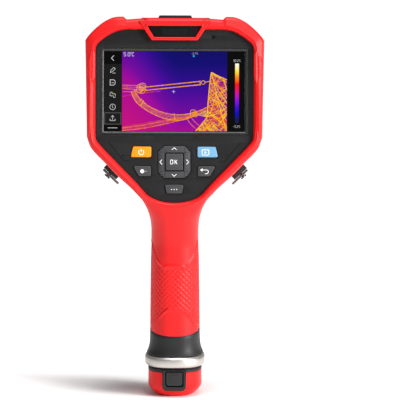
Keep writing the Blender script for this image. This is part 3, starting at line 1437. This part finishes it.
def draw_scale():
    column = layer("scale_column", 0)
    column.prism(box_line(*COLUMN, COLUMN_FOOT, COLUMN_TOP))
    show(column, "scale_black", "020202", "040404")
    bar = layer("scale_bar", 2)
    bar.prism(box_line(*SCALE))
    bar.make("camera", "display_glass", scale_material(*SCALE[2:]))


def draw_notes():
    notes = layer("scale_notes", 3)
    notes.figures("30.2'C", 39.6, 223.6, 1.35, 0.24)
    notes.figures("-3.2'C", 39.4, 179.2, 1.35, 0.24)
    notes.figures("-2.1'C", 11.3, 228.4, 1.2, 0.2)
    show(notes, "note_grey", "9A9A9A", "ABABAB")
    title = layer("spot_title", 3)
    title.figures("5.0'C", -34.3, 227.2, 2.4, 0.3)
    x, v = CROSS
    title.line([(x, v + 1.1), (x, v - 1.0)], 0.3)
    title.line([(x - 1.1, v), (x + 1.1, v)], 0.3)
    title.line([(25.0, 197.9), (26.6, 197.9)], 0.28)
    title.line([(25.8, 198.7), (25.8, 197.1)], 0.28)
    show(title, "title_white", "C9C3DC", "DAD5EA")
    cold = layer("cold_mark", 3)
    cold.dot(12.9, 227.3, 0.6, 12)
    show(cold, "cold_cyan", "12B4F2", "2BC4FF")


def make_screen():
    picture = layer("picture", 0)
    picture.prism(box_line(*PICTURE))
    picture.make("camera", "display_glass", sky_material())
    draw_cables()
    draw_tower()
    draw_menu()
    draw_scale()
    draw_notes()


make_screen()


# ---------- handle's lower end, level ----------
OVAL_ANGLES = turns(96)


def oval_loop(a, b, z):
    return [(*oval_point(a, b, angle), z) for angle in OVAL_ANGLES]


def swept_oval(name, profile, bore):
    """A ring round the handle with a straight bore. Profile rows are (half width, half depth, height)."""
    loops = [oval_loop(*row) for row in profile]
    low, high = profile[0][2], profile[-1][2]
    loops += [oval_loop(*bore, high), oval_loop(*bore, low)]
    return loft_loops(name, loops, closed=True)


COLLAR_BORE = (13.0, 16.8)
RING_BORE = (15.4, 19.4)
SEAM = 0.2                   # from the red grip's lower edge to the collar's upper one
# the collar's section: (share of its height, half width, half depth)
COLLAR_STATIONS = [(0.0, 18.3, 22.9), (0.02, 18.75, 23.35), (0.05, 18.9, 23.5), (0.12, 18.35, 22.95),
                   (0.22, 17.75, 22.3), (0.36, 17.25, 21.8), (0.55, 16.95, 21.5), (0.8, 16.82, 21.42),
                   (0.97, 16.8, 21.4), (1.0, 16.55, 21.15)]


def grip_foot_z(angle):
    """Height of the red grip's lower edge: it sags behind, and is straight in front."""
    behind = max(0.0, -math.sin(angle))
    return mix(44.9, GRIP_FOOT - 1.1, behind ** 1.6)


def make_collar():
    foot = level_box("grip_collar")[0].z

    def loop(a, b, share):
        return [(*oval_point(a, b, angle), mix(foot, grip_foot_z(angle) - SEAM, share))
                for angle in OVAL_ANGLES]

    loops = [loop(a, b, share) for share, a, b in COLLAR_STATIONS]
    loops += [loop(*COLLAR_BORE, 1), loop(*COLLAR_BORE, 0)]
    piece = loft_loops("grip_collar", loops, closed=True)
    finish_piece(piece, LEVEL, "camera", BLACK, ["grip_collar"])


def make_metal_ring():
    corner, (a, b, high) = level_box("metal_ring")
    low = corner.z
    # (distance in from the ring's outside, height)
    section = [(1.6, low), (0.8, low + 0.1), (0.2, low + 0.7), (0, low + 1.5), (0, high - 2.0),
               (0.25, high - 1.2), (0.5, high - 1.0), (0.75, high - 0.4), (1.3, high)]
    piece = swept_oval("metal_ring", [(a - reach, b - reach, z) for reach, z in section], RING_BORE)
    finish_piece(piece, LEVEL, "camera", SATIN, ["metal_ring"])


RIM_FOOT = 17.0              # height where the cap's dark rim begins
CAP_FOOT = (11.0, 15.0)      # half width and half depth of the flat foot
CAP_SIDE = (18.0, 21.6)
CAP_CHAMFER = 6.8            # height of the chamfer round the foot
CAP_FULLNESS = 1.4           # of the chamfer; 1 is straight, and 2 is round


def cap_size(z):
    """Half width and half depth of the battery's end cap."""
    t = min(z / CAP_CHAMFER, 1.0)
    spread = (1 - (1 - t) ** CAP_FULLNESS) ** (1 / CAP_FULLNESS)
    return mix(CAP_FOOT[0], CAP_SIDE[0], spread), mix(CAP_FOOT[1], CAP_SIDE[1], spread)


def cut_away(piece, tool):
    """Cuts one closed mesh out of another and removes the tool."""
    knife = piece.modifiers.new("cut", "BOOLEAN")
    knife.operation = "DIFFERENCE"
    knife.solver = "EXACT"
    knife.object = tool
    apply_modifiers(piece)
    bpy.data.objects.remove(tool)
    shade(piece, 35)


LATCH_LINE = rounded([(-8.0, 18.9), (8.0, 18.9), (8.0, 4.6), (-8.0, 4.6)], [0.1, 0.1, 3.4, 3.4], 8)
LATCH_FACE = -22.4
LATCH_BACK = -15.7
CUT_FROM = -30               # a depth in front of everything on the cap


def make_battery_cap():
    """The red cap and the dark rim on it, both cut away for the latch."""
    heights = [0, 0.02, 0.1, 0.3, 0.6, 1.0, 1.6, 2.4, 3.3, 4.3, 5.3, CAP_CHAMFER, 9, 12, 15, RIM_FOOT - 0.3]
    loops = [oval_loop(*cap_size(z), z) for z in heights]
    a, b = cap_size(RIM_FOOT)
    loops.append(oval_loop(a - 0.3, b - 0.3, RIM_FOOT))
    red = loft_loops("battery_cap", loops)
    pocket = [(x, v if v < RIM_FOOT - 1 else v + 6) for x, v in LATCH_LINE]
    cut_away(red, plate("pocket", [grow(pocket, 0.02)], CUT_FROM, LATCH_BACK + 0.02, 0))
    finish_piece(red, LEVEL, "battery", RED_PLASTIC, ["battery_cap"])
    top = level_box("battery_cap")[1].z
    rim_loops = [oval_loop(a - 0.5, b - 0.5, RIM_FOOT - 0.01), oval_loop(a - 0.1, b - 0.1, RIM_FOOT + 0.02),
                 oval_loop(a + 0.1, b + 0.1, RIM_FOOT + 0.3), oval_loop(a + 0.1, b + 0.1, top - 0.6),
                 oval_loop(a - 0.4, b - 0.4, top)]
    rim = loft_loops("battery_rim", rim_loops)
    cut_away(rim, plate("notch", [rectangle(6.0, 3.0, 0, 15.1)], CUT_FROM, LATCH_BACK + 0.02, 0))
    finish_piece(rim, LEVEL, "battery", BLACK)


def make_latch_frame():
    """The latch's surround, which hangs from the cap's rim."""
    hole = rounded([(-6.1, 18.0), (6.1, 18.0), (6.1, 7.4), (-6.1, 7.4)], [0.9, 0.9, 1.9, 1.9], 6)
    frame_piece = plate("latch_frame", [LATCH_LINE, hole], LATCH_FACE, LATCH_BACK, 0.5, 4)
    floor = plate("latch_floor", [inset(LATCH_LINE, 0.3)], LATCH_BACK - 0.4, LATCH_BACK, 0.05, 1)
    piece = join_pieces("latch_frame", [frame_piece, floor])
    finish_piece(piece, LEVEL, "battery", BLACK, ["latch_frame"])


def make_latch_button():
    """The button, with level ribs and a saw-toothed one down its right side."""
    face = -22.1
    top = 16.4               # height of the first rib
    outline = rounded([(-5.55, 17.55), (5.55, 17.55), (5.55, 8.05), (-5.55, 8.05)], [0.7, 0.7, 1.9, 1.9], 6)
    pieces = [plate("latch_button", [outline], face, -18.0, 0.55, 4)]
    for k in range(7):
        rib = rounded(rectangle(3.9, 0.27, -0.5, top - 1.16 * k), 0.2, 3)
        pieces.append(plate("rib", [rib], face - 0.25, face + 0.4, 0.18, 2))
    teeth = []
    for k in range(6):
        v = top - 1.35 * k
        teeth += [(4.35, v), (4.75, v - 0.35), (4.35, v - 0.7)]
    pieces.append(plate("rib", [stroke_outline(teeth, 0.28)], face - 0.15, face + 0.4, 0.08, 1))
    piece = join_pieces("latch_button", pieces)
    finish_piece(piece, LEVEL, "latch", LATCH_LOOK, ["latch_button"])


make_collar()
make_metal_ring()
make_battery_cap()
make_latch_frame()
make_latch_button()


# ---------- softened copies of plain CAD pieces ----------
def softened(node, body, look, width, segments=3):
    """A copy of a CAD node with its edges rounded, in its place."""
    piece = new_object(node + "_soft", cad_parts[node].data.copy())
    piece.data.transform(Matrix.Scale(1 / MM, 4))
    work = bmesh.new()
    work.from_mesh(piece.data)
    bmesh.ops.remove_doubles(work, verts=work.verts, dist=1e-3)
    bmesh.ops.dissolve_limit(work, angle_limit=math.radians(1.5), verts=work.verts, edges=work.edges)
    work.to_mesh(piece.data)
    work.free()
    soften = piece.modifiers.new("edges", "BEVEL")
    soften.width = width
    soften.segments = segments
    soften.limit_method = "ANGLE"
    soften.angle_limit = math.radians(32)
    soften.use_clamp_overlap = True
    apply_modifiers(piece)
    shade(piece, 40)
    finish_piece(piece, LEVEL, body, look, [node])


PLAIN_NODES = {
    "cover_hinge_pin": STEEL, "usb_socket": STEEL, "card_socket": STEEL, "display_module": MODULE,
    "chassis_plate": MODULE, "main_board": BOARD, "speaker": BLACK, "microphone": WINDOW,
    "nav_gimbal": STEEL, "keypad_membrane": BLACK, "keypad_board": BOARD, "rear_element": WINDOW,
    "shutter_frame": BLACK, "shutter_blade": STEEL, "detector": MODULE, "detector_board": BOARD,
    "trigger_bracket": STEEL, "trigger_spring": STEEL, "trigger_switch": BLACK, "latch_spring": STEEL,
    "battery_case": BLACK, "battery_lid": BLACK, "battery_cell": WRAP, "battery_contacts": CONTACT,
}


def dress_plain_nodes():
    for node, look in PLAIN_NODES.items():
        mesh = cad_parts[node].data
        mesh.materials.clear()
        mesh.materials.append(look)


# ---------- turned parts of the lens ----------
LENS_Z = (level_box("lens_barrel")[0].z + level_box("lens_barrel")[1].z) / 2
INNER = 20.4                 # inner radius of the mount and the focus ring
TUBE = 16.5                  # inner radius of the barrel
MIDDLE = 0.02                # radius that stands for the axis


def lens_loop(radii, y, angles):
    """A loop round the lens axis, with a radius for each angle."""
    return [(radius * math.cos(angle), y, LENS_Z + radius * math.sin(angle))
            for radius, angle in zip(radii, angles)]


def turned(name, profile, count=96):
    """A solid turned about the lens axis from (radius, y) points listed round its section."""
    loops = [lens_loop([radius] * count, y, turns(count)) for radius, y in profile]
    return loft_loops(name, loops, closed=True)


def make_lens_mount():
    low, high = level_box("lens_mount")
    radius, near, far = high.x, low.y, high.y
    profile = [(INNER, near), (radius - 0.2, near), (radius, near + 0.4), (radius, far - 1.6),
               (radius - 0.5, far - 0.5), (radius - 1.6, far), (22.2, far), (INNER, far - 0.2)]
    finish_piece(turned("lens_mount", profile), LEVEL, "camera", BLACK, ["lens_mount"])


def make_lens_barrel():
    """The barrel: a tube with a grooved flange in front of the focus ring and steps down to the glass."""
    back, front = (corner.y for corner in level_box("lens_barrel"))
    flange = level_box("focus_ring")[1].y + 0.3
    profile = [(TUBE, back), (20.0, back), (20.0, flange), (24.6, flange), (25.0, flange + 0.4),
               (25.0, flange + 3.4), (24.6, flange + 3.7), (24.6, flange + 4.3), (25.0, flange + 4.6),
               (25.0, front - 1.4), (24.5, front - 0.4), (23.6, front), (22.6, front), (22.1, front - 0.3),
               (20.6, front - 3.0), (20.4, front - 3.2), (19.4, front - 4.4), (19.2, front - 4.6),
               (18.6, front - 5.6), (18.6, front - 13), (TUBE, front - 13)]
    finish_piece(turned("lens_barrel", profile), LEVEL, "camera", LENS_METAL, ["lens_barrel"])


def make_front_element():
    """The domed front lens."""
    back, far = (corner.y for corner in level_box("front_element"))
    radius, steps = 18.3, 14
    quarter = [math.pi / 2 * k / steps for k in range(steps)]
    dome = [(radius * math.cos(t), mix(back + 2.2, far, math.sin(t))) for t in quarter]
    profile = [(MIDDLE, back), (radius, back)] + dome + [(MIDDLE, far)]
    finish_piece(turned("front_element", profile), LEVEL, "camera", GERMANIUM, ["front_element"])


def make_lens_retainer():
    near, far = (corner.y for corner in level_box("lens_retainer"))
    profile = [(TUBE, near), (18.4, near), (18.4, far), (17.9, far), (17.0, far - 0.7), (TUBE, far - 1.2)]
    finish_piece(turned("lens_retainer", profile), LEVEL, "camera", BLACK, ["lens_retainer"])


RIBS = 72
RIB_DEPTH = 0.8
POINTS_PER_RIB = 6
# rows along the focus ring: (share of its length, drop from its outside); the ribs run where the drop is None
FOCUS_ROWS = [(0.0, 0.9), (0.05, 0.4), (0.12, 0.4), (0.16, None), (0.84, None), (0.88, 0.4), (0.95, 0.4),
              (1.0, 0.9)]


def make_focus_ring():
    """A ring with raised ribs round it and plain bands at its edges."""
    low, high = level_box("focus_ring")
    outer, near, far = high.x, low.y, high.y
    count = RIBS * POINTS_PER_RIB
    angles = turns(count)
    ribbed = [outer if i % POINTS_PER_RIB in (1, 2, 3) else outer - RIB_DEPTH for i in range(count)]
    loops = [lens_loop(ribbed if drop is None else [outer - drop] * count, mix(near, far, share), angles)
             for share, drop in FOCUS_ROWS]
    loops += [lens_loop([INNER] * count, y, angles) for y in (far, near)]
    piece = loft_loops("focus_ring", loops, closed=True)
    finish_piece(piece, LEVEL, "focus_ring", KEY_GREY, ["focus_ring"])


# ---------- sensors under the window ----------
SENSORS = (("visible_camera", LENS_METAL, "black_plastic"), ("laser_module", STEEL, "steel"),
           ("torch_lamp", LAMP, "lamp"))


def make_sensors():
    look_low, look_high = level_box("sensor_window")
    middle = (look_low.z + look_high.z) / 2
    half_height = (look_high.z - look_low.z) / 2
    outline = rounded(rectangle(look_high.x, half_height, 0, middle), 3.0)
    window = plate("sensor_window", [outline], look_low.y, look_high.y, 0.2, 2)
    finish_piece(window, LEVEL, "camera", WINDOW, ["sensor_window"])
    face = look_high.y
    for node, look, slot_name in SENSORS:
        low, high = level_box(node)
        radius = (high.x - low.x) / 2
        rim = [(radius, low.y), (radius, face + 0.35), (radius - 0.25, face + 0.5),
               (radius - 0.6, face + 0.5), (radius - 1.0, face + 0.15), (radius * 0.55, face + 0.1),
               (radius * 0.3, face + 0.3), (MIDDLE, face + 0.38), (MIDDLE, low.y)]
        piece = turned(node, rim, 40)
        piece.data.transform(Matrix.Translation(((high.x + low.x) / 2, 0, middle - LENS_Z)))
        finish_piece(piece, LEVEL, "camera", look, [node])


# ---------- strap anchors ----------
def make_strap_sides():
    for side in ("right", "left"):
        softened(f"strap_anchor_{side}", "camera", BLACK, 0.6)
        softened(f"strap_bracket_{side}", "camera", BRACKET, 0.3)
        softened(f"bracket_screw_{side}", "camera", BRACKET, 0.25, 2)


softened("front_housing", "camera", BLACK, 0.5)
softened("front_grip", "camera", RED, 0.5)
softened("port_cover", "port_cover", BLACK, 0.35)
softened("trigger", "trigger", KEY_GREY, 0.8, 4)
make_lens_mount()
make_lens_barrel()
make_front_element()
make_lens_retainer()
make_focus_ring()
make_sensors()
make_strap_sides()
dress_plain_nodes()


make_rear_housing()


# ---------- stage, light and camera ----------
def make_stage():
    bpy.ops.mesh.primitive_plane_add(size=60, location=(0, 0, 0))
    floor = bpy.context.active_object
    floor.name = "floor"
    look, tree, shader = new_material("floor_white")
    between_two(tree, noise_node(tree, 3, 2), grey(0.93), grey(0.96), shader.inputs["Base Color"])
    shader.inputs["Roughness"].default_value = 0.95
    shader.inputs["Specular IOR Level"].default_value = 0.1
    floor.data.materials.append(look)
    world = bpy.data.worlds.new("world")
    bpy.context.scene.world = world
    world.use_nodes = True
    background = world.node_tree.nodes["Background"]
    background.inputs["Color"].default_value = (1, 1, 1, 1)
    background.inputs["Strength"].default_value = 0.25
    bpy.context.scene.view_settings.view_transform = "Standard"


def add_light(name, kind, place, target, watts, size):
    data = bpy.data.lights.new(name, kind)
    data.energy = watts
    if kind == "AREA":
        data.size = size
    else:
        data.angle = size
    lamp = new_object(name, data)
    lamp.location = place
    lamp.rotation_euler = (Vector(target) - Vector(place)).to_track_quat("-Z", "Y").to_euler()


def make_camera():
    """A very long lens all but square to the screen, a little to its right."""
    data = bpy.data.cameras.new("camera")
    data.lens = 1000
    data.sensor_width = 36
    data.clip_end = 100
    across = 280.2 * MM                 # width of the view at the rim's face
    data.shift_x = 22.9 * MM / across    # the object stands left of the view's middle
    view = new_object("view", data)
    aim = HEAD @ Vector((0, RIM_FACE, 124.9)) * MM
    sideways = math.radians(1.2)
    back = HEAD @ Vector((math.sin(sideways), -math.cos(sideways), 0))
    view.location = aim + back * (across * data.lens / data.sensor_width)
    view.rotation_euler = (aim - view.location).to_track_quat("-Z", "Y").to_euler()
    bpy.context.scene.camera = view


make_stage()
add_light("key", "AREA", (1.35, -0.85, 0.6), (0, 0, 0.15), 36, 0.6)
add_light("overhead", "SUN", (0.3, -0.3, 3), (0, 0, 0), 2.7, 0.5)
make_camera()
